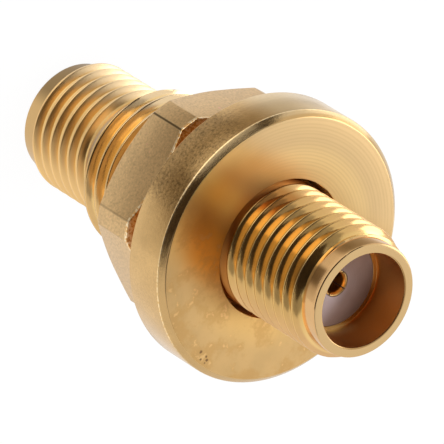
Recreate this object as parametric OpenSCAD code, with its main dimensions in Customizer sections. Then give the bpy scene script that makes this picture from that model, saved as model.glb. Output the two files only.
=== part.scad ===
// Bulkhead coaxial adapter with a threaded jack at each end.
// Millimetres. The origin is the centre of the rear barrel's end face, +Z runs to the front mouth.

/* [Flange] */
// Diameter of the round flange
flange_d = 13.4; // [12.8:0.1:16]
// Thickness of the flange
flange_t = 2.45; // [2.1:0.05:3.5]
// Bevel on the flange's front edge
flange_bevel = 0.28; // [0.1:0.02:0.5]
// Diameter of the recess round the front barrel
recess_d = 6.8; // [6.7:0.05:7.4]
// Depth of that recess
recess_depth = 1.6; // [1:0.1:1.8]

/* [Panel thread] */
// Major diameter of the panel thread
panel_thread_d = 7.94; // [7.7:0.01:8.5]
// Pitch of the panel thread
panel_thread_pitch = 0.794; // [0.7:0.001:1]
// Length of the panel thread behind the flange
panel_thread_l = 7.6; // [6.5:0.1:10]
// Diameter of the relief between the two threads
relief_d = 5.7; // [5.4:0.1:5.9]
// Length of the relief's plain bottom
relief_l = 0.2; // [0.1:0.05:0.6]

/* [Coupling threads] */
// Major diameter of both coupling threads
coupling_thread_d = 6.35; // [6.2:0.01:6.5]
// Length of the front barrel in front of the flange
front_barrel_l = 6.37; // [5.5:0.01:8]
// Length of the rear barrel, from its end face to the start of its thread
rear_barrel_l = 5; // [4.5:0.1:6.5]
// Diameter of the plain nose at each mouth
nose_d = 5.56; // [5.4:0.01:5.7]
// Length of that nose
nose_l = 0.8; // [0.5:0.05:1]

/* [Mouths] */
// Bore of each mouth
mouth_d = 4.6; // [4.5:0.01:4.8]
// Depth of each mouth, down to the insulator
mouth_depth = 2.1; // [1.8:0.05:2.6]
// Bevel on the inner edge of each mouth
mouth_bevel = 0.08; // [0.04:0.01:0.15]

/* [Press joint] */
// Diameter of the front barrel's spigot in the body
spigot_d = 5.4; // [5.3:0.05:5.6]
// Length of that spigot
spigot_l = 4.46; // [3.5:0.01:5]

/* [Insulators] */
// Diameter of both insulators in their barrels
insulator_d = 4.2; // [4:0.01:4.3]
// Diameter of the front insulator's wider inner end
insulator_step_d = 4.7; // [4.5:0.05:4.8]
// Length of that wider end
insulator_step_l = 2.5; // [1.5:0.1:3]
// Length of the rear insulator's collar
insulator_collar_l = 1.5; // [1.3:0.1:2]

/* [Centre contact] */
// Outer diameter of the centre contact
contact_d = 1.27; // [1.2:0.01:1.35]
// Diameter of its two sockets
socket_d = 0.94; // [0.9:0.01:1]
// Depth of each socket
socket_depth = 2.6; // [2:0.1:3]
// Bevel on the inner edge of each socket
socket_bevel = 0.1; // [0.04:0.01:0.12]
// Width of the slots between the socket's fingers
slot_w = 0.14; // [0.1:0.01:0.18]
// Length of those slots
slot_l = 2.2; // [1.5:0.1:2.5]
// Number of fingers at each end
finger_count = 4; // [2:2:4]
// Diameter of the collar that holds the contact in place
contact_collar_d = 2.2; // [1.8:0.1:2.6]
// Length of that collar
contact_collar_l = 1; // [0.6:0.1:1.2]

/* [Hex nut] */
// Width of the nut across its flats
hex_af = 10.3; // [10:0.1:12]
// Diameter over the nut's rounded corners
hex_corner_d = 11.38; // [11:0.01:12.5]
// Thickness of the nut
hex_t = 3; // [2.5:0.1:4]
// Diameter of the flat ring inside the front chamfer
hex_face_d = 9.9; // [9.4:0.1:9.9]
// Diameter of the flat ring inside the smaller rear chamfer
hex_rear_face_d = 10.26; // [9.6:0.02:10.28]
// Distance from the flange back to the nut
nut_gap = 1.27; // [1.1:0.01:3]
// Turn of the nut about the axis, in degrees
nut_turn = 2.6; // [0:0.1:60]

/* [Lock washer] */
// Outer diameter of the lock washer
washer_d = 9.8; // [9.4:0.1:10]
// Width of the washer's solid ring
washer_ring_w = 0.45; // [0.3:0.05:0.5]
// Thickness of the sheet that the washer is stamped from
washer_t = 0.4; // [0.3:0.05:0.5]
// Number of inner teeth
tooth_count = 12; // [8:1:14]
// Width of a tooth
tooth_w = 0.8; // [0.5:0.05:0.9]
// Twist of a tooth out of the sheet, in degrees
tooth_twist = 20; // [10:1:25]

/* [Clearances] */
// Radial clearance of the nut on its thread
thread_clearance = 0.05; // [0.03:0.01:0.08]
// Radial clearance of the washer's teeth over the thread
tooth_clearance = 0.12; // [0.08:0.01:0.2]
// Radial clearance of the pieces that are pressed or slid together
slip = 0.02; // [0.01:0.005:0.03]

/* [Hidden] */
$fn = 96;

gold = [0.83, 0.64, 0.36];
nut_gold = [0.72, 0.58, 0.38];
contact_gold = [0.86, 0.62, 0.28];
insulator_white = [0.90, 0.87, 0.88];

// A lead-in bevel of 30 degrees from the end face, and a turned edge of 45 degrees
lead_slope = tan(30);
edge_break = 0.05;
// The seat gap under the washer's teeth
seat_gap = 0.02;
// How far the front barrel is turned down inside the recess, clear of its own thread's crests
shank_step = 0.2;

// Radii
flange_r = flange_d / 2;
recess_r = recess_d / 2;
panel_thread_r = panel_thread_d / 2;
relief_r = relief_d / 2;
thread_r = coupling_thread_d / 2;
nose_r = nose_d / 2;
mouth_r = mouth_d / 2;
spigot_r = spigot_d / 2;
insulator_r = insulator_d / 2;
insulator_step_r = insulator_step_d / 2;
contact_r = contact_d / 2;
socket_r = socket_d / 2;
contact_collar_r = contact_collar_d / 2;
shank_r = thread_r - shank_step;

// Heights along the axis, from the rear end face up
nose_lead = (thread_r - nose_r) * lead_slope;
relief_lead = (thread_r - relief_r) * lead_slope;
relief_z = rear_barrel_l + relief_lead;
shoulder_z = relief_z + relief_l;
panel_thread_z = shoulder_z + (panel_thread_r - relief_r);
flange_rear_z = panel_thread_z + panel_thread_l;
flange_front_z = flange_rear_z + flange_t;
mouth_z = flange_front_z + front_barrel_l;
recess_z = flange_front_z - recess_depth;
spigot_z = recess_z - spigot_l;
body_step_z = spigot_z - insulator_collar_l;
barrel_step_z = spigot_z + insulator_step_l;
front_reference_z = mouth_z - mouth_depth;
rear_reference_z = mouth_depth;
nut_top_z = flange_rear_z - nut_gap;
nut_bottom_z = nut_top_z - hex_t;
washer_h = tooth_w * sin(tooth_twist) + washer_t * cos(tooth_twist);
washer_mid_z = nut_top_z + seat_gap + washer_h / 2;

// Outline of a barrel's outer end, from its thread out to the inner edge of its mouth,
// with its end face at height z and the barrel's inside on the side that s points to
function barrel_end(z, s) = [
    [thread_r, z + s * (nose_l + nose_lead)],
    [nose_r, z + s * nose_l],
    [nose_r, z + s * edge_break],
    [nose_r - edge_break, z],
    [mouth_r + mouth_bevel, z],
    [mouth_r, z + s * mouth_bevel],
    [mouth_r, z + s * mouth_depth],
    [insulator_r, z + s * mouth_depth]
];

// The revolved body: rear barrel, relief, panel thread and flange, bored for what it holds
module flanged_body() {
    color(gold) rotate_extrude() polygon(concat(
        barrel_end(0, 1),
        [
            [insulator_r, body_step_z],
            [spigot_r, body_step_z],
            [spigot_r, recess_z],
            [recess_r, recess_z],
            [recess_r, flange_front_z],
            [flange_r - flange_bevel, flange_front_z],
            [flange_r, flange_front_z - flange_bevel],
            [flange_r, flange_rear_z + edge_break],
            [flange_r - edge_break, flange_rear_z],
            [panel_thread_r, flange_rear_z],
            [panel_thread_r, panel_thread_z],
            [relief_r, shoulder_z],
            [relief_r, relief_z],
            [thread_r, rear_barrel_l]
        ]));
}

// The front barrel: a spigot in the body, a turned shank in the recess, the thread and the nose
module front_barrel() {
    color(gold) rotate_extrude() polygon(concat(
        barrel_end(mouth_z, -1),
        [
            [insulator_r, barrel_step_z],
            [insulator_step_r, barrel_step_z],
            [insulator_step_r, spigot_z],
            [spigot_r - slip, spigot_z],
            [spigot_r - slip, recess_z],
            [shank_r, recess_z],
            [shank_r, flange_front_z],
            [thread_r, flange_front_z]
        ]));
}

// What the chamfers and the rounded corners leave of the nut's bar
module nut_blank() {
    chamfer_h = (hex_corner_d - hex_face_d) / 2 * lead_slope;
    rear_chamfer_h = (hex_corner_d - hex_rear_face_d) / 2 * lead_slope;
    rotate_extrude() polygon([
        [0, 0],
        [hex_rear_face_d / 2, 0],
        [hex_corner_d / 2, rear_chamfer_h],
        [hex_corner_d / 2, hex_t - chamfer_h],
        [hex_face_d / 2, hex_t],
        [0, hex_t]
    ]);
}

// The nut's bore, with a countersink at each end, run past both faces
module nut_bore() {
    bore_r = panel_thread_r + thread_clearance;
    sink = 0.2;
    run_out = 0.5;
    rotate_extrude() polygon([
        [0, -run_out],
        [bore_r + sink + run_out, -run_out],
        [bore_r, sink],
        [bore_r, hex_t - sink],
        [bore_r + sink + run_out, hex_t + run_out],
        [0, hex_t + run_out]
    ]);
}

module hex_nut() {
    color(nut_gold)
    translate([0, 0, nut_bottom_z]) rotate([0, 0, nut_turn])
    difference() {
        intersection() {
            cylinder(d = hex_af / cos(30), h = hex_t, $fn = 6);
            nut_blank();
        }
        nut_bore();
    }
}

// One tooth of the lock washer, twisted about its own radius
module washer_tooth() {
    tooth_r = panel_thread_r + tooth_clearance;
    root_r = washer_d / 2 - washer_ring_w / 2;
    rotate([tooth_twist, 0, 0])
    translate([tooth_r, -tooth_w / 2, -washer_t / 2])
    cube([root_r - tooth_r, tooth_w, washer_t]);
}

module lock_washer() {
    color(nut_gold) translate([0, 0, washer_mid_z]) {
        difference() {
            cylinder(d = washer_d, h = washer_t, center = true);
            cylinder(d = washer_d - 2 * washer_ring_w, h = 2 * washer_t, center = true);
        }
        for (i = [0 : tooth_count - 1]) rotate([0, 0, i * 360 / tooth_count]) washer_tooth();
    }
}

// The front insulator: flush with the mouth's bottom, held by its wider inner end
module front_insulator() {
    color(insulator_white) rotate_extrude() polygon([
        [contact_r + slip, spigot_z],
        [insulator_step_r - slip, spigot_z],
        [insulator_step_r - slip, barrel_step_z],
        [insulator_r - slip, barrel_step_z],
        [insulator_r - slip, front_reference_z],
        [contact_r + slip, front_reference_z]
    ]);
}

// The rear insulator: its collar is clamped under the spigot and traps the contact's collar
module rear_insulator() {
    color(insulator_white) rotate_extrude() polygon([
        [contact_r + slip, rear_reference_z],
        [insulator_r - slip, rear_reference_z],
        [insulator_r - slip, body_step_z],
        [spigot_r - slip, body_step_z],
        [spigot_r - slip, spigot_z],
        [contact_collar_r + slip, spigot_z],
        [contact_collar_r + slip, spigot_z - contact_collar_l],
        [contact_r + slip, spigot_z - contact_collar_l]
    ]);
}

// One socket and its slots, cut down from an end face at height zero
module socket_cut() {
    run_out = 0.2;
    rotate_extrude() polygon([
        [0, -socket_depth - socket_r * lead_slope],
        [socket_r, -socket_depth],
        [socket_r, -socket_bevel],
        [socket_r + socket_bevel + run_out, run_out],
        [0, run_out]
    ]);
    for (i = [0 : finger_count / 2 - 1]) rotate([0, 0, 45 + i * 360 / finger_count])
        translate([-contact_d, -slot_w / 2, -slot_l]) cube([2 * contact_d, slot_w, slot_l + run_out]);
}

module centre_contact() {
    color(contact_gold) difference() {
        union() {
            translate([0, 0, rear_reference_z])
                cylinder(r = contact_r, h = front_reference_z - rear_reference_z);
            translate([0, 0, spigot_z - contact_collar_l])
                cylinder(r = contact_collar_r, h = contact_collar_l);
        }
        translate([0, 0, front_reference_z]) socket_cut();
        translate([0, 0, rear_reference_z]) mirror([0, 0, 1]) socket_cut();
    }
}

flanged_body();
front_barrel();
hex_nut();
lock_washer();
front_insulator();
rear_insulator();
centre_contact();
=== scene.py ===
"""Dresses the bulkhead coaxial adapter: real threads, rounded edges, gold plate and the stage."""

import math

import bmesh
import bpy
from mathutils import Matrix, Vector


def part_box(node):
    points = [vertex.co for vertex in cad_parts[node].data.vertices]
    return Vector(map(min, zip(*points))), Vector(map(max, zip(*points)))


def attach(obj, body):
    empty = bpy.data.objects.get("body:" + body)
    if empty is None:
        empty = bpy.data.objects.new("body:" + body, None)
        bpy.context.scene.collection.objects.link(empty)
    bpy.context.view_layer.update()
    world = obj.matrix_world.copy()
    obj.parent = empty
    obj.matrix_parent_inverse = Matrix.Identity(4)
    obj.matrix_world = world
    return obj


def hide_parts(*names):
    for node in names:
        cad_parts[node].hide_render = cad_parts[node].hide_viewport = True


bl_info = {
    "name": "Coaxial adapter",
    "version": (1, 0, 0),
    "blender": (4, 5, 0),
    "location": "3D View > Sidebar > Adapter",
    "description": "Builds the threaded pieces and finishes of a gold-plated coaxial adapter",
    "category": "Object",
}

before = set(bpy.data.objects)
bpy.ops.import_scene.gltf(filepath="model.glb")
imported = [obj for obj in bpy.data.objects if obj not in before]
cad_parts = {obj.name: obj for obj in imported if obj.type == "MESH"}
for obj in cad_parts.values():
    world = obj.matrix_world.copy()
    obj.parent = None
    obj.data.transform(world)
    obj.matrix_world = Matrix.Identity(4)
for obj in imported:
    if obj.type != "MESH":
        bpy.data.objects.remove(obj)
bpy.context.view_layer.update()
MM = 0.001
# Rise of a 30-degree cone over a millimetre of radius
SLOPE = math.tan(math.radians(30))


def top(node):
    """Highest point of a CAD node, in millimetres."""
    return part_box(node)[1].z / MM


def bottom(node):
    """Lowest point of a CAD node, in millimetres."""
    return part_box(node)[0].z / MM


def reach(node):
    """Largest radius of a CAD node, in millimetres."""
    low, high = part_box(node)
    return max(high.x, high.y, -low.x, -low.y) / MM


BODY_TOP = top("flanged_body")
MOUTH_TOP = top("front_barrel")
FLANGE_R = reach("flanged_body")
BARREL_R = reach("front_barrel")
NUT_TOP = top("hex_nut")
NUT_BOTTOM = bottom("hex_nut")
SPIGOT_Z = bottom("front_barrel")
INSULATOR_R = reach("front_insulator")

# Clearance of each seat, and how far a thread stops short of what it meets
FIT = 0.02
# Heights at which a crest passes azimuth -90 degrees, below or above the flange's front face
REAR_CREST, PANEL_CREST, FRONT_CREST = BODY_TOP - 15.36, BODY_TOP - 10.01, BODY_TOP + 0.16


def length(name, description, default):
    """A size in metres, given here in millimetres."""
    return bpy.props.FloatProperty(
        name=name, description=description, default=default * MM,
        unit="LENGTH", subtype="DISTANCE", precision=5)


def turn(name, description, default):
    """An angle, given here in degrees."""
    return bpy.props.FloatProperty(
        name=name, description=description, default=math.radians(default), subtype="ANGLE")


def colour(name, description, default):
    """A linear colour of three parts."""
    return bpy.props.FloatVectorProperty(
        name=name, description=description, default=default, size=3,
        min=0.0, max=1.0, subtype="COLOR")


def share(name, description, default):
    """A plain factor from nought to one."""
    return bpy.props.FloatProperty(
        name=name, description=description, default=default, min=0.0, max=1.0, subtype="FACTOR")


class AdapterSizes(bpy.types.PropertyGroup):
    """Sizes of the turned and threaded pieces."""
    coupling_pitch: length("Coupling pitch", "Pitch of the two coupling threads", 0.7056)
    panel_pitch: length("Panel pitch", "Pitch of the panel thread", 0.794)
    panel_r: length("Panel thread radius", "Crest radius of the panel thread", 3.97)
    nose_r: length("Nose radius", "Radius of the plain nose at each mouth", 2.78)
    nose_l: length("Nose length", "Length of the plain nose at each mouth", 0.8)
    mouth_r: length("Mouth radius", "Bore radius of each mouth", 2.3)
    mouth_depth: length("Mouth depth", "Depth of each mouth down to its insulator", 2.1)
    recess_r: length("Recess radius", "Radius of the recess round the front barrel", 3.4)
    recess_depth: length("Recess depth", "Depth of the recess round the front barrel", 1.6)
    flange_t: length("Flange thickness", "Thickness of the round flange", 2.45)
    flange_bevel: length("Flange bevel", "Bevel on the flange's front edge", 0.28)
    relief_r: length("Relief radius", "Radius of the relief behind the panel thread", 2.85)
    rear_barrel_l: length("Rear barrel", "Length of the rear barrel up to the relief", 5.0)
    panel_l: length("Panel thread length", "Length of the panel thread", 7.6)
    spigot_r: length("Spigot radius", "Radius of the front barrel's spigot", 2.7)
    collar_l: length("Collar length", "Length of the rear insulator's collar", 1.5)
    step_l: length("Step length", "Length of the front insulator's wider end", 2.5)
    step_r: length("Step radius", "Radius of the front insulator's wider end", 2.35)
    contact_r: length("Contact radius", "Outer radius of the centre contact", 0.635)
    socket_r: length("Socket radius", "Radius of the contact's sockets", 0.47)
    socket_depth: length("Socket depth", "Depth of each socket", 2.6)
    slot_w: length("Slot width", "Width of the slots in each socket", 0.07)
    slot_l: length("Slot length", "Length of the slots in each socket", 2.2)
    contact_collar_l: length("Contact collar", "Length of the contact's collar", 1.0)
    nut_flat: length("Nut half width", "Distance from the axis to a flat of the nut", 5.15)
    nut_corner: length("Nut corner radius", "Radius over the nut's rounded corners", 5.69)
    nut_face: length("Nut face radius", "Radius of the flat ring inside the front chamfer", 4.95)
    nut_rear: length("Nut rear radius", "Radius of the flat ring inside the rear chamfer", 5.13)
    edge: length("Edge rounding", "Rounding of the turned edges", 0.05)
    nut_turn: turn("Nut turn", "Turn of the nut's flats about the axis", 2.6)


class AdapterFinish(bpy.types.PropertyGroup):
    """Colours of the plating and the insulator. Several of them are painted light and shade, noted
    at each.
    """
    gold: colour("Gold", "Plate on the body and the washer", (0.67, 0.43, 0.18))
    barrel_gold: colour("Barrel gold", "Plate on the front barrel", (0.69, 0.42, 0.185))
    nut_gold: colour("Nut gold", "Paler, matt plate on the nut", (0.66, 0.44, 0.21))
    # Painted shade: darker, redder gold down in the bores, in the corner at the flange's back and
    # on the nut's front chamfer.
    painted_shade_gold: colour("Deep gold", "Thin plate in the bores", (0.68, 0.315, 0.075))
    # Painted light: brighter, warmer gold in the thread grooves, for light bounced between the
    # flanks.
    groove_glow_gold: colour("Bright gold", "Fresh plate in the grooves", (0.88, 0.60, 0.24))
    # Painted reflection: warmer gold on the flange's face in front of the barrel, on its -y side,
    # where the face mirrors the barrel.
    face_reflection_gold: colour("Warm gold", "Richer plate on one side of the flange", (0.95, 0.60, 0.20))
    # Painted reflection: warm orange of light bounced inside the recess round the barrel, and in a
    # band just under the nut's front chamfer.
    warm_reflection_gold: colour("Recess gold", "Warm plate down in the recess", (0.88, 0.50, 0.17))
    relief_gold: colour("Relief gold", "Paler plate of the relief", (0.70, 0.56, 0.40))
    stain: colour("Stain", "Warmer patches on the flange", (0.60, 0.34, 0.11))
    # Painted highlight, with wear: a bright, broken line along the flange bevel's outer edge and
    # along the nut's front chamfer edge, where a rounded edge catches a lamp.
    wear_and_glint: colour("Worn edge", "Bright metal on worn edges", (1.0, 0.84, 0.56))
    dirt: colour("Dirt", "Dark marks on the flange", (0.20, 0.11, 0.05))
    # Painted light: a brighter gold, so that the contact looks lit down in the dark bore.
    contact_gold: colour("Contact gold", "Deeper plate on the contact", (0.95, 0.62, 0.24))
    # Painted shade: the insulators' white is darkened to the shade down in the mouths.
    insulator: colour("Insulator", "Fluoropolymer of the insulators", (0.39, 0.265, 0.225))
    gloss: share("Roughness", "Roughness of the threads' plate", 0.15)


class AdapterStage(bpy.types.PropertyGroup):
    """Camera, lamps and floor."""
    elevation: turn("Elevation", "Height of the camera above the horizon", 46.5388)
    roll: turn("Roll", "Turn of the camera about its line of sight", -122.1174)
    distance: length("Distance", "Distance from the camera to its target plane", 405.413)
    shift_x: length("Target right", "How far the axis point stands right of the centre", 2.6658)
    shift_y: length("Target up", "How far the axis point stands above the centre", -1.2149)
    lens: bpy.props.FloatProperty(
        name="Lens", description="Focal length of the camera in millimetres", default=722.43)
    shadow: share("Shadow", "How much of the floor's shadow is kept", 0.08)


# Turned outlines

ROUND_STEPS = 3
# Points that stand in place of each rounded corner
CORNER = ROUND_STEPS + 1


def rounded(points, radius):
    """Rounds every corner of a closed outline of (r, z) points with CORNER points.
    A third number on a point is its own rounding."""
    made = []
    count = len(points)
    for i, point in enumerate(points):
        here = Vector(point[:2])
        to_before = Vector(points[i - 1][:2]) - here
        to_after = Vector(points[(i + 1) % count][:2]) - here
        own = point[2] if len(point) > 2 else radius
        cut = min(own, 0.4 * to_before.length, 0.4 * to_after.length)
        start = here + to_before.normalized() * cut
        end = here + to_after.normalized() * cut
        for k in range(CORNER):
            t = k / ROUND_STEPS
            spot = start * (1 - t) ** 2 + here * 2 * t * (1 - t) + end * t ** 2
            made.append((spot.x, spot.y))
    return made


# Places of the rows across one pitch, from the middle of a groove to the next
ROWS = (-0.5, -0.44, -0.40, -0.31, -0.20, -0.11, -0.07, -0.045, 0.0,
        0.045, 0.07, 0.11, 0.20, 0.31, 0.40, 0.44)
# A groove's depth, half of a crest's flat, and the rounding at both, in pitches
DEPTH, HALF_CREST, SOFT = 0.58, 0.0625, 0.03


def crest_drop(u, pitch):
    """How far a 60-degree thread lies under its crest, u pitches away from the crest's middle."""
    u = abs((u + 0.5) % 1.0 - 0.5)
    flank = (u - HALF_CREST) / SLOPE * pitch
    deep = DEPTH * pitch
    soft = SOFT * pitch
    over = 0.5 * (flank + math.sqrt(flank * flank + soft * soft))
    return deep - 0.5 * ((deep - over) + math.sqrt((deep - over) ** 2 + soft * soft))


def turns(angle):
    """Turns round the axis from azimuth -90 degrees."""
    return (angle + math.pi / 2) / (2 * math.pi)


class Thread:
    """A right-hand thread whose crest passes height crest_z at azimuth -90 degrees."""

    def __init__(self, crest_r, pitch, crest_z, low, high):
        self.crest_r, self.pitch, self.crest_z = crest_r, pitch, crest_z
        self.low, self.high = low, high

    def radius(self, angle, z, swell=0.0):
        """Radius of the thread at an angle and a height, larger by swell."""
        u = (z - self.crest_z) / self.pitch - turns(angle)
        return self.crest_r + swell - crest_drop(u, self.pitch)

    def rows(self, angle, limit=None, swell=0.0):
        """(r, z) points from low to high on one side, on rows that follow the helix."""
        first = math.floor((self.low - self.crest_z) / self.pitch) - 2
        last = math.ceil((self.high - self.crest_z) / self.pitch) + 1
        made = []
        for k in range(first, last + 1):
            for u in ROWS:
                z = self.crest_z + self.pitch * (k + u + turns(angle))
                z = min(max(z, self.low), self.high)
                r = self.radius(angle, z, swell)
                made.append((limit(r, z) if limit else r, z))
        return made


# Points closer than this are one, in metres
SEAM = 2e-7


def ring_piece(name, outline, angles, sharp=32):
    """A closed ring mesh: outline(angle) gives the same number of (r, z) points at each angle."""
    columns = [outline(a) for a in angles]
    count = len(columns[0])
    verts = [(r * math.cos(a) * MM, r * math.sin(a) * MM, z * MM)
             for a, column in zip(angles, columns) for r, z in column]
    faces = []
    for i in range(len(angles) - 1):
        for j in range(count):
            k = (j + 1) % count
            quad = (i * count + j, (i + 1) * count + j, (i + 1) * count + k, i * count + k)
            faces.append(quad)
    mesh = bpy.data.meshes.new(name)
    mesh.from_pydata(verts, [], faces)
    weld(mesh, sharp)
    piece = bpy.data.objects.new(name, mesh)
    bpy.context.scene.collection.objects.link(piece)
    return piece


def weld(mesh, sharp):
    """Closes the seam, drops empty faces, turns the faces outward and shades them."""
    shape = bmesh.new()
    shape.from_mesh(mesh)
    bmesh.ops.remove_doubles(shape, verts=shape.verts, dist=SEAM)
    bmesh.ops.dissolve_degenerate(shape, edges=shape.edges, dist=SEAM / 2)
    bmesh.ops.recalc_face_normals(shape, faces=shape.faces)
    shape.to_mesh(mesh)
    shape.free()
    mesh.polygons.foreach_set("use_smooth", [True] * len(mesh.polygons))
    mesh.set_sharp_from_angle(angle=math.radians(sharp))


def round_angles():
    """Evenly spaced angles, closed by the first one a full turn on."""
    count = 192
    return [2 * math.pi * i / count for i in range(count + 1)]


# Rounding of the mouths' outer rim
RIM = 0.08


def mouth_end(sizes, z, s):
    """Outline of a mouth from its lead-in cone round the nose to the insulator's seat."""
    nose_r, nose_l = sizes.nose_r / MM, sizes.nose_l / MM
    mouth_r, depth = sizes.mouth_r / MM, sizes.mouth_depth / MM
    seat_r = INSULATOR_R + FIT
    return [(nose_r, z + s * nose_l), (nose_r, z, RIM), (mouth_r, z), (mouth_r, z + s * depth),
            (seat_r, z + s * depth)]


def lead_in(sizes, z, s):
    """Limit on a thread's radius near a mouth: a cone of 30 degrees from the end face."""
    nose_r, nose_l = sizes.nose_r / MM, sizes.nose_l / MM

    def limit(r, height):
        along = s * (height - z) - nose_l
        return min(max(r, nose_r), max(nose_r, nose_r + along / SLOPE))
    return limit


# Finishes

def add_node(tree, kind, settings=None, sockets=None, out=0):
    """Adds a node: its settings first, then the values or links of its sockets."""
    made = tree.nodes.new(kind)
    for key, value in (settings or {}).items():
        if key == "stops":
            ramp = made.color_ramp
            while len(ramp.elements) < len(value):
                ramp.elements.new(0.5)
            for element, (place, shade) in zip(ramp.elements, value):
                element.position = place
                element.color = (*shade, 1.0)
        else:
            setattr(made, key, value)
    for key, value in (sockets or {}).items():
        if isinstance(value, Wire):
            tree.links.new(value.socket, made.inputs[key])
        else:
            made.inputs[key].default_value = value
    return Wire(tree, made.outputs[out]) if made.outputs else made


class Wire:
    """One output socket. Arithmetic on it adds Math nodes."""

    def __init__(self, tree, socket):
        self.tree, self.socket = tree, socket

    def math(self, operation, *values):
        """A Math node on the values given, in this wire's tree."""
        return add_node(self.tree, "ShaderNodeMath", {"operation": operation},
                        dict(enumerate(values)))

    def __add__(self, other):
        return self.math("ADD", self, other)

    def __radd__(self, other):
        return self.math("ADD", other, self)

    def __sub__(self, other):
        return self.math("SUBTRACT", self, other)

    def __rsub__(self, other):
        return self.math("SUBTRACT", other, self)

    def __mul__(self, other):
        return self.math("MULTIPLY", self, other)

    def __rmul__(self, other):
        return self.math("MULTIPLY", other, self)

    def __truediv__(self, other):
        return self.math("DIVIDE", self, other)

    def __pow__(self, other):
        return self.math("POWER", self, other)

    def __abs__(self):
        return self.math("ABSOLUTE", self)

    def step(self, low, high):
        """A smooth step from nought at low to one at high."""
        return add_node(self.tree, "ShaderNodeMapRange", {"interpolation_type": "SMOOTHSTEP"},
                        {"Value": self, "From Min": low, "From Max": high})

    def band(self, low, high, soft):
        """A mask that is one between low and high, with soft ends."""
        return self.step(low - soft, low + soft) * self.step(high + soft, high - soft)


class Finish:
    """A procedural material. Its coordinates are millimetres in the part's own frame."""

    def __init__(self, name):
        self.material = bpy.data.materials.new(name)
        self.material.use_nodes = True
        self.tree = self.material.node_tree
        self.tree.nodes.clear()
        self.place = self.vector("SCALE", self.node("ShaderNodeTexCoord", out="Object"),
                                 Scale=1.0 / MM)
        parts = self.node("ShaderNodeSeparateXYZ", sockets={0: self.place}).socket.node
        self.x, self.y, self.z = (Wire(self.tree, o) for o in parts.outputs)
        self.r = (self.x * self.x + self.y * self.y) ** 0.5
        normal = self.node("ShaderNodeTexCoord", out="Normal")
        self.up = self.node("ShaderNodeSeparateXYZ", sockets={0: normal}, out="Z")
        self.face = abs(self.up).step(0.6, 0.8)

    def node(self, kind, settings=None, sockets=None, out=0):
        """A node in this material."""
        return add_node(self.tree, kind, settings, sockets, out)

    def vector(self, operation, *values, out=0, **named):
        """A Vector Math node, its sockets by place and by name."""
        sockets = dict(enumerate(values))
        sockets.update(named)
        return self.node("ShaderNodeVectorMath", {"operation": operation}, sockets, out)

    def noise(self, scale, detail, roughness=0.5):
        """Noise in the round. The scale is for millimetres."""
        return self.node("ShaderNodeTexNoise", {"noise_dimensions": "3D"},
                         {"Vector": self.place, "Scale": scale, "Detail": detail,
                          "Roughness": roughness})

    def lines(self, along, scale, detail):
        """Fine turning lines along one coordinate."""
        return self.node("ShaderNodeTexNoise", {"noise_dimensions": "1D"},
                         {"W": along, "Scale": scale, "Detail": detail, "Roughness": 0.6})

    def mix(self, factor, first, second):
        """Colour that goes from first to second."""
        made = self.node("ShaderNodeMix", {"data_type": "RGBA"}, {"Factor": factor}).socket.node
        for key, value in (("A", first), ("B", second)):
            socket = next(s for s in made.inputs if s.name == key and s.type == "RGBA")
            if isinstance(value, Wire):
                self.tree.links.new(value.socket, socket)
            else:
                socket.default_value = (*value, 1.0)
        return Wire(self.tree, next(s for s in made.outputs if s.type == "RGBA"))

    def bump(self, height, distance, normal=None):
        """Bump from a height between nought and one, and the millimetres that one stands for."""
        sockets = {"Height": height, "Distance": distance * MM, "Strength": 1.0}
        if normal:
            sockets["Normal"] = normal
        return self.node("ShaderNodeBump", sockets=sockets)

    def finish(self, sockets):
        """Closes the material with a shader that has these sockets."""
        shader = self.node("ShaderNodeBsdfPrincipled", sockets=sockets)
        self.node("ShaderNodeOutputMaterial", sockets={"Surface": shader})
        return self.material


def shade_of(base, factor):
    """The colour made darker or lighter, kept under one."""
    return tuple(min(1.0, part * factor) for part in base)


class Plate(Finish):
    """Gold plate over turned brass: tint, roughness and bump grow zone by zone."""

    def __init__(self, name, base, roughness):
        super().__init__(name)
        base = tuple(base)
        slow, self.fine = self.noise(0.9, 3.0), self.noise(8.0, 1.5, 0.6)
        self.tint = self.mix(slow.step(0.35, 0.65), shade_of(base, 0.96), shade_of(base, 1.04))
        self.rough = roughness + (slow - 0.5) * 0.06
        self.bumpy = None

    def dab(self, mask, tint, rough=0.0):
        """Lays another tint, and a rougher skin, where the mask is one."""
        self.tint = self.mix(mask, self.tint, tuple(tint))
        if rough:
            self.rough = self.rough + mask * rough

    def grooves(self, crest_r, mask, tint):
        """Painted light down in a thread: a brighter, warmer tint in its grooves, standing for
        light bounced between the flanks.
        """
        deep = self.r.step(crest_r - 0.18, crest_r - 0.32)
        self.dab(deep * mask * 0.85, tint)

    def skin(self, line_depth, grain, where=1.0):
        """Turning lines and grain, as bump. The grain keeps to where the mask is one."""
        along = self.face * self.r + (1 - self.face) * self.z
        if line_depth:
            self.bumpy = self.bump(self.lines(along, 4.5, 1.0), line_depth)
        self.bumpy = self.bump(self.noise(9.0, 1.0) * where, grain, normal=self.bumpy)

    def speckle(self, mask, scale, dark, light):
        """Fine light and dark grain in the tint."""
        grain = self.noise(scale, 1.5, 0.7)
        self.tint = self.mix(grain.step(0.52, 0.68) * mask, self.tint, dark)
        self.tint = self.mix(grain.step(0.48, 0.34) * mask, self.tint, light)

    def done(self):
        """Closes the plate's material."""
        return self.finish({"Base Color": self.tint, "Metallic": 1.0, "Roughness": self.rough,
                            "Normal": self.bumpy})


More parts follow.
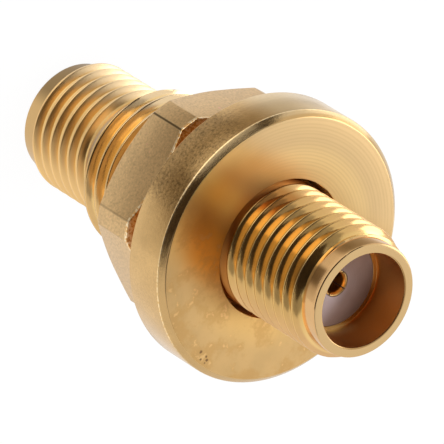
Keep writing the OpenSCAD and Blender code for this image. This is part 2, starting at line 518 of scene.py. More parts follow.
# Tints laid over the base plate, each in one place. The copper flecks are marks in the plate; most
# of the others are painted highlights, painted reflections and painted shade, standing for light
# that the lamps and cards don't give.
# On the rear barrel and the flange's front face
LIT_CREST_HIGHLIGHT = (0.90, 0.70, 0.44)
MATT_FACE = (0.84, 0.54, 0.19)
LIT_FACE = (0.69, 0.48, 0.24)
LIT_INNER_FACE = (0.89, 0.62, 0.275)
LEMON_REFLECTION = (1.0, 0.74, 0.25)
ORANGE_BARREL_REFLECTION = (0.93, 0.45, 0.065)
# On the flange's rim and bevel, and in the recess
SHADED_BROWN_GRAIN = (0.44, 0.28, 0.12)
LIT_RIM = (0.86, 0.68, 0.42)
LIT_BEVEL = (0.84, 0.60, 0.30)
LIT_RECESS = (1.0, 0.74, 0.36)
# On the front barrel's thread and nose
WARM_THREAD_REFLECTION = (0.62, 0.39, 0.125)
SHADED_DARK_THREAD = (0.30, 0.19, 0.08)
SHADED_TAN_THREAD = (0.60, 0.36, 0.13)
SHADED_BROWN_THREAD = (0.42, 0.18, 0.045)
SHADED_SUNK_THREAD = (0.60, 0.25, 0.06)
SHADED_BROWN_NOSE = (0.46, 0.29, 0.11)
# Round and inside the front mouth
PALE_MOUTH = (0.66, 0.445, 0.21)
DARK_REFLECTION_LIP = (0.36, 0.20, 0.07)
LIT_SIDE_BORE = (0.80, 0.46, 0.16)
LIT_BORE = (1.0, 0.78, 0.40)
# On the nut
SHADED_CHAMFER = (0.22, 0.07, 0.015)
COPPER_FLECK = (0.85, 0.42, 0.30)
# On the front insulator
LIT_WHITE = (0.78, 0.67, 0.70)
SHADED_WHITE = (0.14, 0.06, 0.03)

# How far outside its radius a bore's tint reaches
WALL = 0.03
# Heights on the rear end: where the thread starts and ends, and where the panel thread starts
REAR_THREAD_LOW, REAR_THREAD_TOP, PANEL_THREAD_LOW = 0.9, 5.1, 6.4
# Dark specks at the edge of the flange's face: x, y and size
SPECKS = ((5.9, -0.79, 0.10), (6.2, -0.55, 0.07), (6.07, -0.2, 0.09), (5.97, -0.35, 0.07),
          (6.24, -0.22, 0.05))


def dress_rear(p, colours, flange_rear, panel_r):
    """The rear barrel, the relief, the panel thread and the flange's back, with painted light and
    shade.
    """
    gold = tuple(colours.gold)
    # Painted light: the rear barrel, below the relief, lighter as if lit more, and rougher; its
    # nose is brought back to a little under the base gold.
    p.dab(p.z.step(5.6, 5.2), shade_of(gold, 1.22), 0.14)
    p.dab(p.z.step(0.85, 0.75), shade_of(gold, 0.95))
    # Painted shade on the rear nose's -x side.
    shaded_nose = p.z.step(1.2, REAR_THREAD_LOW) * p.x.step(0.5, -0.6)
    p.dab(shaded_nose, shade_of(gold, 0.42))
    # Painted highlight: the rear barrel and the panel thread paler on their -x side, as on the lit
    # side.
    lit_side = p.x.step(-0.8, -2.6) * p.z.band(REAR_THREAD_LOW, flange_rear, 0.1)
    p.dab(lit_side * 0.7, LIT_CREST_HIGHLIGHT)
    # Painted glow in the grooves of the rear thread and the panel thread.
    p.grooves(BARREL_R, p.z.band(REAR_THREAD_LOW, REAR_THREAD_TOP, 0.05), colours.groove_glow_gold)
    p.grooves(panel_r, p.z.band(PANEL_THREAD_LOW, flange_rear, 0.05), colours.groove_glow_gold)
    p.dab(p.z.band(REAR_THREAD_TOP, 6.2, 0.1) * 0.8, shade_of(colours.relief_gold, 0.6))
    # Painted shade in the corner between the panel thread and the flange's back.
    p.dab(p.z.band(flange_rear - 0.05, flange_rear + 0.02, 0.01), colours.painted_shade_gold)


def dress_face(p, colours, front):
    """The flange's front face: matt and warm by the barrel, stained, ringed and specked, with
    painted reflections of the barrel and a painted lit side.
    """
    gold = tuple(colours.gold)
    p.dab(p.r.step(5.4, 3.5) * front * 0.8, MATT_FACE, 0.24)
    # Painted reflection of the barrel: warmer gold on the face's -y side.
    p.dab(p.y.step(-2.0, -4.5) * abs(p.x).step(4.0, 1.6) * front * 0.85, colours.face_reflection_gold)
    # Painted highlight: the face paler on its -x side, as on the lit side, and paler still nearer
    # the barrel there.
    lit_side = p.x.step(-2.6, -4.0) * front
    p.dab(lit_side * 0.85, LIT_FACE)
    p.dab(lit_side * p.r.step(5.4, 4.4) * 0.8, LIT_INNER_FACE)
    # Painted reflection: a lemon patch on the face's -y side, in front of the barrel.
    p.dab(front * p.y.step(-3.4, -4.2) * p.x.band(-1.3, 0.1, 0.5) * 0.8, LEMON_REFLECTION)
    # Painted reflection: an orange glow on the face beside the barrel, on its -y and +x side,
    # where the face mirrors the barrel.
    glow = p.r.step(5.9, 4.4) * p.x.band(0.4, 2.9, 0.7) * p.y.step(-1.4, -2.8)
    p.dab(glow * front * 0.8, ORANGE_BARREL_REFLECTION)
    low_side = p.x.step(-0.5, 3.5)
    cloud = p.noise(0.8, 4.0, 0.65)
    p.dab(cloud.step(0.46, 0.60) * front * low_side * 0.55, colours.stain)
    streak = p.noise(1.6, 3.0, 0.6)
    p.dab(streak.step(0.60, 0.68) * front * low_side * 0.7, shade_of(gold, 1.3))
    rings = p.r.math("SINE", p.r * 38.0 + p.lines(p.r, 2.0, 1.0) * 6.0)
    high_side = p.x.step(-1.5, -5.0)
    p.dab(rings.step(-0.4, 1.0) * front * high_side * 0.2, shade_of(gold, 0.72))
    ragged = (p.fine - 0.5) * 0.12
    for x, y, size in SPECKS:
        away = p.vector("DISTANCE", p.place, (x, y, BODY_TOP), out="Value")
        p.dab((away + ragged).step(size, size * 0.5) * 0.8, colours.dirt, 0.2)


def dress_edge(p, colours, flange, rim, bevel_z):
    """The flange's rim, with grain and painted shade on one side and painted light on the other,
    and its bevel with painted shade, a painted lighter stretch and a painted highlight with wear
    along its edge.
    """
    gold = tuple(colours.gold)
    # Grain and painted shade: the rim grainier and browner from about x -3.2 to x 0.6.
    grain_and_shade = rim * p.x.step(1.4, 0.6) * p.x.step(-4.4, -3.2)
    p.speckle(rim * 0.12 + grain_and_shade * 0.88, 7.5, shade_of(gold, 0.48), shade_of(gold, 1.35))
    p.dab(grain_and_shade * 0.35, SHADED_BROWN_GRAIN)
    # Painted highlight: the rim paler on its -x side, as on the lit side.
    p.dab(rim * p.x.step(-4.3, -5.4) * 0.7, LIT_RIM)
    # Painted highlight with wear along the bevel's outer edge.
    wear_and_glint = p.z.band(bevel_z - 0.01, bevel_z + 0.03, 0.03) * rim
    p.dab(wear_and_glint * p.fine.step(0.36, 0.52) * 0.8, colours.wear_and_glint)
    bevel = p.up.band(0.4, 0.9, 0.08) * flange * p.r.step(FLANGE_R - 0.4, FLANGE_R - 0.3)
    # Painted reflection: the bevel darker, for the dark that it mirrors.
    p.dab(bevel * 0.5, shade_of(gold, 0.7), -0.04)
    # Painted highlight: a lighter, rougher stretch of the bevel on its -x side.
    p.dab(bevel * p.x.step(-0.2, -1.4) * p.x.step(-4.6, -3.8), LIT_BEVEL, 0.12)


def body_plate(colours, flange_rear, bevel_z, panel_r, recess_r, recess_z, mouth_r, mouth_depth):
    """The body: turned face with warm stains, rim with grain, bevel with wear, deep recess and
    bore, with painted highlights, reflections and shade laid over them.
    """
    p = Plate("body_gold", colours.gold, colours.gloss)
    flange = p.z.step(flange_rear - 0.1, flange_rear)
    front = p.up.step(0.9, 0.98) * flange
    rim = p.r.step(FLANGE_R - 0.2, FLANGE_R - 0.1) * flange
    p.rough = p.rough + front * 0.18 + rim * 0.08
    dress_rear(p, colours, flange_rear, panel_r)
    dress_face(p, colours, front)
    dress_edge(p, colours, flange, rim, bevel_z)
    wall = p.z.band(recess_z - 0.1, BODY_TOP - 0.06, 0.03)
    recess = p.r.step(recess_r + WALL, recess_r) * wall
    # Painted reflection: the recess wall warm orange, as light bounced inside it, and rougher.
    p.dab(recess, colours.warm_reflection_gold, 0.35)
    # Painted highlight: the recess wall lighter on its -x side.
    p.dab(recess * p.x.step(-1.0, -2.6), LIT_RECESS, 0.1)
    # Painted shade: the rear bore darker and redder.
    bore = p.r.step(mouth_r + WALL, mouth_r) * p.z.step(mouth_depth + 0.1, mouth_depth)
    p.dab(bore, colours.painted_shade_gold, 0.25)
    p.skin(0.002, 0.003, where=rim)
    return p.done()


def barrel_plate(colours, recess_top, nose_low, mouth_r, mouth_low):
    """The front barrel: glossy threads with painted glow, reflections and shade, and painted shade
    down in the recess and in the bore, lit in places.
    """
    p = Plate("barrel_gold", colours.barrel_gold, colours.gloss - 0.025)
    outside = p.r.step(mouth_r + 0.3, mouth_r + 0.4)
    threaded = outside * p.z.step(nose_low, nose_low - 0.1)
    # Painted glow in the grooves of the coupling thread.
    p.grooves(BARREL_R, threaded, colours.groove_glow_gold)
    # Painted reflection: a warmer, darker amber on the thread's -y side.
    p.dab(p.y.step(-0.6, -2.4) * threaded * 0.75, WARM_THREAD_REFLECTION)
    # Painted shade: a dark patch on the last turns of the thread by the nose, on its -y side.
    shaded_patch = p.x.band(-0.3, 1.1, 0.4) * p.y.step(-2.0, -2.4) * p.z.band(21.2, 22.15, 0.1)
    p.dab(shaded_patch * 0.8, SHADED_DARK_THREAD)
    # Painted shade on the thread's -x, -y side: tan on the lower turns, brown at the root.
    shaded = p.x.band(-2.5, -1.1, 0.3) * p.y.step(0.0, -1.0) * threaded
    p.dab(shaded * p.z.step(21.0, 18.4) * 0.5, SHADED_TAN_THREAD)
    p.dab(shaded * p.z.step(18.3, 17.6) * 0.9, SHADED_BROWN_THREAD)
    nose = p.z.step(nose_low, nose_low + 0.05) * outside
    # Painted shade: a brown stretch on the nose's -x, -y side.
    p.dab(nose * p.x.band(-2.4, -1.5, 0.3) * p.y.step(-1.2, -1.5) * 0.5, SHADED_BROWN_NOSE)
    # Painted shade: the thread darker and rougher where it sinks into the recess.
    p.dab(p.z.step(recess_top, recess_top - 0.12), SHADED_SUNK_THREAD, 0.3)
    # Painted shade: the front bore darker and redder.
    bore = p.r.step(mouth_r + WALL, mouth_r) * p.z.step(mouth_low - 0.2, mouth_low)
    p.dab(bore, colours.painted_shade_gold, 0.25)
    # Painted light: the bore lighter on its -x, +y side.
    p.dab(bore * p.x.step(0.4, -1.4) * p.y.step(0.0, 1.2) * 0.5, LIT_SIDE_BORE)
    low_wall = (p.x * 0.92 + p.y * 0.39).step(1.7, 2.15) * p.z.step(mouth_low + 0.9, mouth_low)
    p.dab(bore * low_wall, LIT_BORE)
    p.dab(p.up.step(0.8, 0.95) * p.z.step(MOUTH_TOP - 0.05, MOUTH_TOP - 0.02), PALE_MOUTH)
    # Painted reflection: a dark line at the mouth's inner edge on its +y side, where the rounding
    # mirrors dark.
    lip = p.r.step(mouth_r + 0.085, mouth_r + 0.065) * p.z.step(MOUTH_TOP - 0.07, MOUTH_TOP - 0.05)
    p.dab(lip * p.y.step(-0.6, 0.8) * 0.8, DARK_REFLECTION_LIP)
    p.skin(0.002, 0.0005)
    return p.done()


def nut_plate(colours, face, first, turn_at):
    """The nut: matt flats with grain and dark corner lines, and painted light and shade at the
    front chamfer: shade on the chamfer, a warm reflection and a highlight with wear along its
    edge.
    """
    p = Plate("nut_gold", colours.nut_gold, 0.31)
    gold = tuple(colours.nut_gold)
    p.speckle(0.8, 9.0, shade_of(gold, 0.78), shade_of(gold, 1.16))
    above_chamfer = p.z - (NUT_TOP - (p.r - face) * SLOPE)
    # Painted shade on the front chamfer, darker still on its +x side.
    chamfer = above_chamfer.step(-0.03, -0.015)
    p.dab(chamfer, shade_of(colours.painted_shade_gold, 0.55))
    p.dab(chamfer * p.x.step(0.5, 2.0) * 0.7, SHADED_CHAMFER)
    # Painted reflection and highlight: a warm band on the flats just under the chamfer's edge,
    # with a bright, broken line in it.
    near = abs(above_chamfer + 0.07).step(0.09, 0.04)
    p.dab(near * 0.7, colours.warm_reflection_gold)
    p.dab(near * p.fine.step(0.44, 0.54) * 0.9, colours.wear_and_glint)
    half_side = math.radians(30)
    turned = p.y.math("ARCTAN2", p.y, p.x) - (first - half_side)
    off = turned.math("FLOORED_MODULO", turned, 2 * half_side) - half_side
    # Dark lines along the nut's corners, darker on the flat at -y and towards -x.
    corner_line = abs(abs(off) - turn_at).step(0.012, 0.005) * above_chamfer.step(-0.02, -0.06)
    darker_side = p.y.step(-4.85, -4.95) * (0.3 + p.x.step(0.5, -0.5) * 0.55)
    p.dab(corner_line * (0.1 + darker_side), shade_of(gold, 0.2))
    p.dab(p.noise(3.2, 1.0).step(0.74, 0.78) * 0.6, COPPER_FLECK)
    p.skin(0.0, 0.004)
    return p.done()


def plain_plate(name, base, roughness, line_depth, grain):
    """Plain plate of the washer and the contact."""
    p = Plate(name, base, roughness)
    p.skin(line_depth, grain)
    return p.done()


def white_insulator(name, base):
    """Turned fluoropolymer: waxy white darkened as painted shade, with faint turning lines and
    painted light and shade at the front.
    """
    f = Finish(name)
    base = tuple(base)
    tint = f.mix(f.noise(1.4, 3.0).step(0.3, 0.7), shade_of(base, 0.94), shade_of(base, 1.05))
    front = f.z.step(14.0, 15.0)
    # Painted light and shade on the front insulator: lighter towards -y and +x, darker towards +y,
    # where the mouth's wall shades it.
    tint = f.mix(f.y.step(1.1, 0.1) * f.x.step(-1.0, 0.8) * front * 0.75, tint, LIT_WHITE)
    tint = f.mix(f.y.step(0.9, 2.1) * front * 0.75, tint, SHADED_WHITE)
    lines = f.lines(f.r, 7.0, 2.0)
    rough = 0.42 + (lines - 0.5) * 0.15
    bumpy = f.bump(lines, 0.004)
    return f.finish({"Base Color": tint, "Roughness": rough, "Normal": bumpy,
                     "Subsurface Weight": 0.15, "Subsurface Radius": (0.0008, 0.0007, 0.0007)})


class Piece:
    """What the operators that build a piece have in common."""
    bl_options = {"REGISTER", "UNDO"}

    def place(self, piece, material, body, slot, *nodes):
        """Gives a new piece its finish and its body, and hides the CAD nodes that it stands for.
        """
        piece.data.materials.clear()
        piece.data.materials.append(material)
        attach(piece, body)
        if nodes:
            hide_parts(*nodes)

    def coat(self, node, material):
        """Gives a CAD node its finish."""
        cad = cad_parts.get(node)
        if cad is None:
            raise RuntimeError(f"no CAD node {node}")
        cad.data.materials.clear()
        cad.data.materials.append(material)


class ADAPTER_OT_body(Piece, bpy.types.Operator):
    """Builds the body: rear barrel, relief, panel thread and flange"""
    bl_idname = "adapter.body"
    bl_label = "Flanged body"

    def execute(self, context):
        sizes, colours = context.scene.adapter_sizes, context.scene.adapter_finish
        nose_r, nose_l = sizes.nose_r / MM, sizes.nose_l / MM
        relief_r, panel_r = sizes.relief_r / MM, sizes.panel_r / MM
        flange_rear = BODY_TOP - sizes.flange_t / MM
        rear_l = sizes.rear_barrel_l / MM
        relief_z = rear_l + (BARREL_R - relief_r) * SLOPE
        panel_low = flange_rear - sizes.panel_l / MM
        shoulder_z = panel_low - (panel_r - relief_r)
        coupling = sizes.coupling_pitch / MM
        panel = sizes.panel_pitch / MM
        rear = Thread(BARREL_R, coupling, REAR_CREST, nose_l, relief_z - FIT)
        wide = Thread(panel_r, panel, PANEL_CREST, shoulder_z + FIT, flange_rear - FIT)
        near_mouth = lead_in(sizes, 0.0, 1)

        def rear_limit(r, z):
            out = relief_r + (relief_z - z) / SLOPE
            return max(min(near_mouth(r, z), out), min(relief_r, near_mouth(FLANGE_R, z)))

        def wide_limit(r, z):
            return max(min(r, relief_r + (z - shoulder_z)), relief_r)

        edge = sizes.edge / MM
        bevel = sizes.flange_bevel / MM
        recess_r, recess_z = sizes.recess_r / MM, BODY_TOP - sizes.recess_depth / MM
        spigot_r, collar_z = sizes.spigot_r / MM, SPIGOT_Z - sizes.collar_l / MM
        seat_r = INSULATOR_R + FIT
        nose = rounded(mouth_end(sizes, 0.0, 1)[::-1][:-1] + [(nose_r, nose_l)]
                       + [(3.0, nose_l + 0.5), (seat_r + 0.1, nose_l + 1.0)], edge)
        nose = nose[CORNER:4 * CORNER]
        flange = rounded([(panel_r, flange_rear), (FLANGE_R, flange_rear),
                          (FLANGE_R, BODY_TOP - bevel), (FLANGE_R - bevel, BODY_TOP),
                          (recess_r, BODY_TOP), (recess_r, recess_z), (spigot_r, recess_z),
                          (spigot_r, collar_z), (seat_r, collar_z),
                          (seat_r, sizes.mouth_depth / MM)], edge)[CORNER:]

        def outline(angle):
            return nose + rear.rows(angle, rear_limit) + wide.rows(angle, wide_limit) + flange

        piece = ring_piece("body", outline, round_angles())
        made = body_plate(colours, flange_rear, BODY_TOP - bevel, panel_r, recess_r, recess_z,
                          sizes.mouth_r / MM, sizes.mouth_depth / MM)
        self.place(piece, made, "adapter", "body_gold", "flanged_body")
        return {"FINISHED"}


class ADAPTER_OT_barrel(Piece, bpy.types.Operator):
    """Builds the front barrel with its coupling thread"""
    bl_idname = "adapter.barrel"
    bl_label = "Front barrel"

    def execute(self, context):
        sizes, colours = context.scene.adapter_sizes, context.scene.adapter_finish
        nose_r, nose_l = sizes.nose_r / MM, sizes.nose_l / MM
        recess_z = BODY_TOP - sizes.recess_depth / MM
        spigot_r = sizes.spigot_r / MM - FIT
        narrower = 0.23
        seat_r, step_r = INSULATOR_R - narrower, sizes.step_r / MM
        step_z = SPIGOT_Z + sizes.step_l / MM
        nose_low = MOUTH_TOP - nose_l
        coupling = Thread(BARREL_R, sizes.coupling_pitch / MM, FRONT_CREST,
                          recess_z + FIT, nose_low)
        limit = lead_in(sizes, MOUTH_TOP, -1)
        edge = sizes.edge / MM
        mouth_r, mouth_low = sizes.mouth_r / MM, MOUTH_TOP - sizes.mouth_depth / MM
        nose = rounded([(3.0, nose_low - 0.5), (nose_r, nose_low),
                        (nose_r, MOUTH_TOP, RIM), (mouth_r, MOUTH_TOP), (mouth_r, mouth_low),
                        (seat_r, mouth_low), (seat_r, step_z), (step_r, step_z),
                        (step_r, SPIGOT_Z), (spigot_r, SPIGOT_Z), (spigot_r, recess_z)],
                       edge)[2 * CORNER:]

        def outline(angle):
            return coupling.rows(angle, limit) + nose

        piece = ring_piece("barrel", outline, round_angles())
        made = barrel_plate(colours, BODY_TOP - 0.05, nose_low, mouth_r, mouth_low)
        self.place(piece, made, "adapter", "barrel_gold", "front_barrel")
        return {"FINISHED"}


class ADAPTER_OT_nut(Piece, bpy.types.Operator):
    """Builds the hexagonal panel nut with its chamfers and inner thread"""
    bl_idname = "adapter.nut"
    bl_label = "Panel nut"

    def execute(self, context):
        sizes, colours = context.scene.adapter_sizes, context.scene.adapter_finish
        flat, corner = sizes.nut_flat / MM, sizes.nut_corner / MM
        face, rear = sizes.nut_face / MM, sizes.nut_rear / MM
        panel_r, pitch = sizes.panel_r / MM, sizes.panel_pitch / MM
        half_side = math.radians(30)
        first = half_side + sizes.nut_turn
        inner = Thread(panel_r, pitch, PANEL_CREST, NUT_BOTTOM + FIT, NUT_TOP - FIT)
        root_r, sink_r = 3.56, panel_r + 0.2
        clear, edge = 0.05, 0.045
        turn_at = math.acos(flat / corner)

        def outer(angle):
            off = (angle - first + half_side) % (2 * half_side) - half_side
            return min(flat / math.cos(off), corner)

        def inner_limit(r, z):
            from_end = min(z - NUT_BOTTOM, NUT_TOP - z)
            return min(max(r, root_r, sink_r - from_end), sink_r)

        def outline(angle):
            r = outer(angle)
            drop, lift = (r - face) * SLOPE, (r - rear) * SLOPE
            thread = inner.rows(angle, inner_limit, swell=clear)[::-1]
            shell = rounded([(sink_r, NUT_BOTTOM), (rear, NUT_BOTTOM), (r, NUT_BOTTOM + lift),
                             (r, NUT_TOP - drop), (face, NUT_TOP), (sink_r, NUT_TOP)],
                            edge)
            return shell[CORNER:-CORNER] + thread

        # Offsets from a side's middle: along the flat, close to its two ends, round the corner
        steps = 18
        offsets = [turn_at * 0.96 * (2 * i / steps - 1) for i in range(steps + 1)]
        for t in (0.98, 0.995, 1.005, 1.02):
            offsets += [-turn_at * t, turn_at * t]
        for t in (26.5, 28):
            offsets += [-math.radians(t), math.radians(t)]
        offsets.append(-half_side)
        angles = sorted({round(first + k * 2 * half_side + off, 9)
                         for k in range(6) for off in offsets})
        angles.append(angles[0] + 2 * math.pi)
        piece = ring_piece("nut", outline, angles, sharp=18)
        self.place(piece, nut_plate(colours, face, first, turn_at), "nut", "nut_gold", "hex_nut")
        return {"FINISHED"}


class ADAPTER_OT_washer(Piece, bpy.types.Operator):
    """Plates the lock washer"""
    bl_idname = "adapter.washer"
    bl_label = "Lock washer"

    def execute(self, context):
        colours = context.scene.adapter_finish
        self.coat("lock_washer", plain_plate("washer_gold", colours.gold, 0.3, 0.0, 0.003))
        return {"FINISHED"}


class ADAPTER_OT_insulators(Piece, bpy.types.Operator):
    """Finishes both insulators"""
    bl_idname = "adapter.insulators"
    bl_label = "Insulators"

    def execute(self, context):
        made = white_insulator("insulator_white", context.scene.adapter_finish.insulator)
        for node in ("front_insulator", "rear_insulator"):
            self.coat(node, made)
        return {"FINISHED"}


class ADAPTER_OT_contact(Piece, bpy.types.Operator):
    """Builds the centre contact: a rounded, countersunk and slotted socket at each end"""
    bl_idname = "adapter.contact"
    bl_label = "Centre contact"

    def execute(self, context):
        sizes, colours = context.scene.adapter_sizes, context.scene.adapter_finish
        low, high = bottom("centre_contact"), top("centre_contact")
        collar_r = reach("centre_contact")
        outer, socket = sizes.contact_r / MM, sizes.socket_r / MM
        depth, slot_l = sizes.socket_depth / MM, sizes.slot_l / MM
        collar_top = SPIGOT_Z
        collar_low = SPIGOT_Z - sizes.contact_collar_l / MM
        floor = depth + socket * SLOPE
        slot = sizes.slot_w / MM / 2 / outer

        def end(z, s, cut):
            """Points from the outer wall over the rim to the middle of the socket's floor."""
            rim = rounded([(outer, z + s * 1.0), (outer, z, 0.06), (socket + 0.1, z, 0.03),
                           (socket, z + s * 0.12, 0.05), (socket, z + s * depth)],
                          0.03)[CORNER:-CORNER]
            limit = z + s * slot_l
            if cut:
                rim = [(r, limit) for r, _ in rim]
            return rim + [(socket, z + s * depth), (0.0, z + s * floor)]

        def outline(angle):
            off = (angle + math.pi / 4) % (math.pi / 2) - math.pi / 4
            cut = abs(off) < slot
            front = end(high, -1, cut)
            rear = end(low, 1, cut)[::-1]
            return front + rear + [(outer, collar_low), (collar_r, collar_low),
                                   (collar_r, collar_top), (outer, collar_top)]

        angles = []
        for k in range(4):
            middle = k * math.pi / 2
            angles += [middle - slot * 1.02, middle - slot * 0.98, middle,
                       middle + slot * 0.98, middle + slot * 1.02]
            span = math.pi / 2 - 2 * slot
            angles += [middle + slot + span * t / 14 for t in range(1, 14)]
        angles.append(angles[0] + 2 * math.pi)
        piece = ring_piece("contact", outline, angles)
        # The contact's brighter gold is painted light down in the dark bore.
        made = plain_plate("contact_gold", colours.contact_gold, 0.34, 0.002, 0.001)
        self.place(piece, made, "adapter", "contact_gold", "centre_contact")
        return {"FINISHED"}


# Soft boxes: name, azimuth, elevation, half width and half height in degrees, distance in
# millimetres, and strength
LAMPS = (("front_box", -28, 2, 20, 17, 60, 1.2), ("left_box", -142, 34, 18, 16, 200, 2.3),
         ("low_left_box", -118, -2, 20, 13, 60, 1.1), ("right_box", 80, -3, 26, 11, 60, 0.6))
# Corners of the cards by azimuth and elevation
RIGHT_SCRIM = ([(az, 63) for az in range(60, 166, 15)]
               + [(az, 52) for az in range(165, 59, -15)])
LEFT_SCRIM = ([(az, 63) for az in range(-132, -61, 14)]
              + [(az, 50) for az in range(-62, -133, -14)])
CAMERA_FLAG = ((-52, 28), (-20, 30), (2, 24), (6, -1), (42, -1), (48, 22), (62, 36), (50, 56),
               (20, 66), (-30, 66), (-60, 58))
SIDE_FLAG = ((-84, 4), (-58, 1), (-56, 30), (-62, 58), (-84, 46))
HOOD_LOW, HOOD_HIGH = 62, 81
# The mat, like the cards, is seen only in reflections.
# Edge of the mat that lies round the rear end, by radius in millimetres and azimuth
MAT_EDGE = ([(13, az) for az in range(-58, 15, 6)] + [(17, az) for az in range(15, 51, 7)]
            + [(34, az) for az in range(50, -131, -6)] + [(17, az) for az in range(-130, -57, 6)])
# How light the mat is at each azimuth, in its middle ring and in its outer one
MIDDLE_SHADES = ((-130, 0.90), (-113, 0.84), (-101, 0.66), (-89, 0.60), (-77, 0.46), (-65, 0.36),
                 (-53, 0.25), (-41, 0.31), (-28, 0.28), (-16, 0.30), (-4, 0.20), (8, 0.30),
                 (20, 0.72), (30, 0.90))
OUTER_SHADES = ((-130, 0.90), (-117, 0.64), (-101, 0.50), (-84, 0.42), (-68, 0.29), (-54, 0.33),
                (-42, 0.72), (-15, 0.82), (-8, 0.20), (12, 0.14), (20, 0.22), (28, 0.58),
                (44, 0.84), (50, 0.90))
WHITE = (1, 1, 1, 1)


class ADAPTER_OT_stage(bpy.types.Operator):
    """Sets the floor, the lamps and the camera"""
    bl_idname = "adapter.stage"
    bl_label = "Stage"
    bl_options = {"REGISTER", "UNDO"}

    def execute(self, context):
        stage = context.scene.adapter_stage
        self.floor(stage)
        self.world(context.scene)
        self.lamps()
        self.flags()
        self.camera(context.scene, stage)
        context.scene.view_settings.view_transform = "Standard"
        return {"FINISHED"}

    def floor(self, stage):
        """A floor that the camera and reflections see as white, with a little of its shadow."""
        mesh = bpy.data.meshes.new("floor")
        half, drop = 0.6, 0.00002
        mesh.from_pydata([(-half, -half, 0), (half, -half, 0), (half, half, 0), (-half, half, 0)],
                         [], [(0, 1, 2, 3)])
        floor = bpy.data.objects.new("floor", mesh)
        floor.location.z = -drop
        bpy.context.scene.collection.objects.link(floor)
        f = Finish("floor_white")
        light_path = f.node("ShaderNodeLightPath").socket.node.outputs
        seen, mirrored, through = (Wire(f.tree, light_path[ray]) for ray in (
            "Is Camera Ray", "Is Glossy Ray", "Is Transmission Ray"))
        mirrored = mirrored.math("MAXIMUM", mirrored, through)
        bright = seen * (1 - stage.shadow) + mirrored * (1 - stage.shadow)
        white = f.node("ShaderNodeEmission", sockets={"Color": WHITE, "Strength": 1.03})
        paper = f.node("ShaderNodeBsdfDiffuse", sockets={"Color": (0.9, 0.9, 0.9, 1)})
        mixed = f.node("ShaderNodeMixShader", sockets={0: bright, 1: paper, 2: white})
        f.node("ShaderNodeOutputMaterial", sockets={"Surface": mixed})
        mesh.materials.append(f.material)

    def world(self, scene):
        """A white surround, a little softer as a light than as it is seen."""
        world = bpy.data.worlds.new("studio")
        scene.world = world
        world.use_nodes = True
        tree = world.node_tree
        tree.nodes.clear()
        light_path = add_node(tree, "ShaderNodeLightPath").socket.node.outputs
        seen = Wire(tree, light_path["Is Camera Ray"])
        seen = seen.math("MAXIMUM", seen, Wire(tree, light_path["Is Glossy Ray"]))
        seen = seen.math("MAXIMUM", seen, Wire(tree, light_path["Is Transmission Ray"]))
        white = add_node(tree, "ShaderNodeBackground", sockets={0: WHITE, 1: 1.0})
        soft = add_node(tree, "ShaderNodeBackground", sockets={0: WHITE, 1: 0.8})
        mixed = add_node(tree, "ShaderNodeMixShader", sockets={0: seen, 1: soft, 2: white})
        add_node(tree, "ShaderNodeOutputWorld", sockets={"Surface": mixed})

    def lamps(self):
        """The soft boxes, each facing the flange."""
        for name, azimuth, height, wide, tall, distance, strength in LAMPS:
            data = bpy.data.lights.new(name, "AREA")
            data.shape = "RECTANGLE"
            data.size = 2 * distance * MM * math.tan(math.radians(wide))
            data.size_y = 2 * distance * MM * math.tan(math.radians(tall))
            data.energy = strength * math.pi * data.size * data.size_y
            lamp = bpy.data.objects.new(name, data)
            bpy.context.scene.collection.objects.link(lamp)
            lamp.matrix_world = self.toward(azimuth, height, distance)
            lamp.visible_camera = False

    def toward(self, azimuth, height, distance):
        """Place at a distance from a point in the flange, facing it. Azimuth 0 is -Y, 90 is +X."""
        a, e = math.radians(azimuth), math.radians(height)
        away = Vector((math.sin(a) * math.cos(e), -math.cos(a) * math.cos(e), math.sin(e)))
        turn_to = away.to_track_quat("Z", "Y").to_matrix().to_4x4()
        middle = Vector((0, 0, 15 * MM))
        return Matrix.Translation(middle + away * distance * MM) @ turn_to

    def flags(self):
        """Dark and grey cards that only reflections see, darkening what the metal mirrors on one
        side, as a studio's flags show in metal.
        """
        black = Finish("flag_cloth")
        tone = black.mix(black.noise(2.0, 2.0), (0.045, 0.032, 0.02), (0.09, 0.062, 0.04))
        black.finish({"Base Color": tone, "Roughness": 0.9})
        scrim = Finish("scrim_cloth")
        tone = scrim.mix(scrim.noise(0.01, 2.0), (0.50, 0.49, 0.48), (0.62, 0.61, 0.60))
        scrim.finish({"Base Color": tone, "Roughness": 0.9})
        sides = range(-180, 180, 20)
        hood = [self.spot(az, el) for el in (HOOD_LOW, HOOD_HIGH) for az in sides]
        count = len(sides)
        self.card("hood", hood, black, [(i, (i + 1) % count, count + (i + 1) % count, count + i)
                                        for i in range(count)])
        self.card("hood_top", hood[count:], scrim)
        for name, cloth, corners in (("right_scrim", scrim, RIGHT_SCRIM),
                                     ("left_scrim", scrim, LEFT_SCRIM),
                                     ("camera_flag", black, CAMERA_FLAG),
                                     ("side_flag", black, SIDE_FLAG)):
            self.card(name, [self.spot(az, el) for az, el in corners], cloth)
        lift = 0.05
        self.card("mat", [Vector((math.sin(math.radians(az)) * r, -math.cos(math.radians(az)) * r,
                                  lift)) * MM for r, az in MAT_EDGE], self.mat_cloth())

    def mat_cloth(self):
        """The mat's finish: three rings, each with its own tones round the axis."""
        grey = Finish("mat_card")
        side = (grey.x / grey.r).step(0.08, 0.25) * 0.8
        near = grey.mix(side, (0.49, 0.47, 0.45), (0.9, 0.9, 0.9))
        around = grey.x.math("ARCTAN2", grey.x, 0.0 - grey.y) * (180 / math.pi)
        tone = grey.mix(grey.r.step(17.3, 19.3), near, self.shades(grey, around, MIDDLE_SHADES))
        tone = grey.mix(grey.r.step(22.6, 23.4), tone, self.shades(grey, around, OUTER_SHADES))
        grey.finish({"Base Color": tone, "Roughness": 0.9})
        return grey

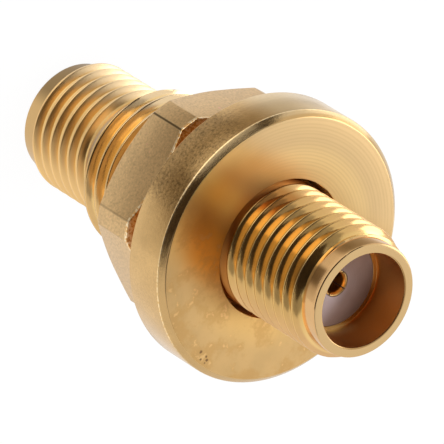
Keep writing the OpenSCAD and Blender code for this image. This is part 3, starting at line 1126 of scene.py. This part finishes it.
    def shades(self, cloth, around, table):
        """Tone of the mat by azimuth, warmer where it is darker."""
        low, high = table[0][0], table[-1][0]
        stops = [((az - low) / (high - low), (v, v ** 1.15, v ** 1.4)) for az, v in table]
        place = (around - low) / (high - low)
        return cloth.node("ShaderNodeValToRGB", {"stops": stops}, {"Fac": place})

    def spot(self, azimuth, height):
        """Place of a card's corner, seen from the flange."""
        return self.toward(azimuth, height, 600).translation

    def card(self, name, verts, cloth, faces=None):
        """A card that only reflections see."""
        mesh = bpy.data.meshes.new(name)
        mesh.from_pydata([tuple(v) for v in verts], [], faces or [tuple(range(len(verts)))])
        mesh.materials.append(cloth.material)
        card = bpy.data.objects.new(name, mesh)
        bpy.context.scene.collection.objects.link(card)
        card.visible_camera = False
        card.visible_diffuse = False
        card.visible_shadow = False

    def camera(self, scene, stage):
        """The camera, aimed past the axis point of the flange's front face."""
        data = bpy.data.cameras.new("camera")
        data.lens = stage.lens
        data.sensor_width = 36
        data.clip_start, data.clip_end = 0.01, 10
        camera = bpy.data.objects.new("camera", data)
        scene.collection.objects.link(camera)
        e = stage.elevation
        back = Vector((0, -math.cos(e), math.sin(e)))
        right = Vector((1, 0, 0))
        up = back.cross(right)
        axes = Matrix((right, up, back)).transposed() @ Matrix.Rotation(-stage.roll, 3, "Z")
        away = axes @ Vector((-stage.shift_x, -stage.shift_y, stage.distance))
        target = Vector((0, 0, BODY_TOP * MM))
        camera.matrix_world = Matrix.Translation(away + target) @ axes.to_4x4()
        scene.camera = camera


OPERATORS = (ADAPTER_OT_body, ADAPTER_OT_barrel, ADAPTER_OT_nut, ADAPTER_OT_washer,
             ADAPTER_OT_insulators, ADAPTER_OT_contact, ADAPTER_OT_stage)


class ADAPTER_PT_panel(bpy.types.Panel):
    """Lists the adapter's pieces, sizes and finishes"""
    bl_idname = "ADAPTER_PT_panel"
    bl_label = "Coaxial adapter"
    bl_space_type = "VIEW_3D"
    bl_region_type = "UI"
    bl_category = "Adapter"

    def draw(self, context):
        for operator in OPERATORS:
            self.layout.operator(operator.bl_idname)
        for group in (context.scene.adapter_sizes, context.scene.adapter_finish,
                      context.scene.adapter_stage):
            column = self.layout.column(align=True)
            for name in group.__annotations__:
                column.prop(group, name)


CLASSES = (AdapterSizes, AdapterFinish, AdapterStage, *OPERATORS, ADAPTER_PT_panel)


def register():
    for kind in CLASSES:
        bpy.utils.register_class(kind)
    bpy.types.Scene.adapter_sizes = bpy.props.PointerProperty(type=AdapterSizes)
    bpy.types.Scene.adapter_finish = bpy.props.PointerProperty(type=AdapterFinish)
    bpy.types.Scene.adapter_stage = bpy.props.PointerProperty(type=AdapterStage)


def unregister():
    del bpy.types.Scene.adapter_sizes
    del bpy.types.Scene.adapter_finish
    del bpy.types.Scene.adapter_stage
    for kind in reversed(CLASSES):
        bpy.utils.unregister_class(kind)


def main():
    register()
    for operator in OPERATORS:
        group, name = operator.bl_idname.split(".")
        getattr(getattr(bpy.ops, group), name)()


if __name__ == "__main__":
    main()
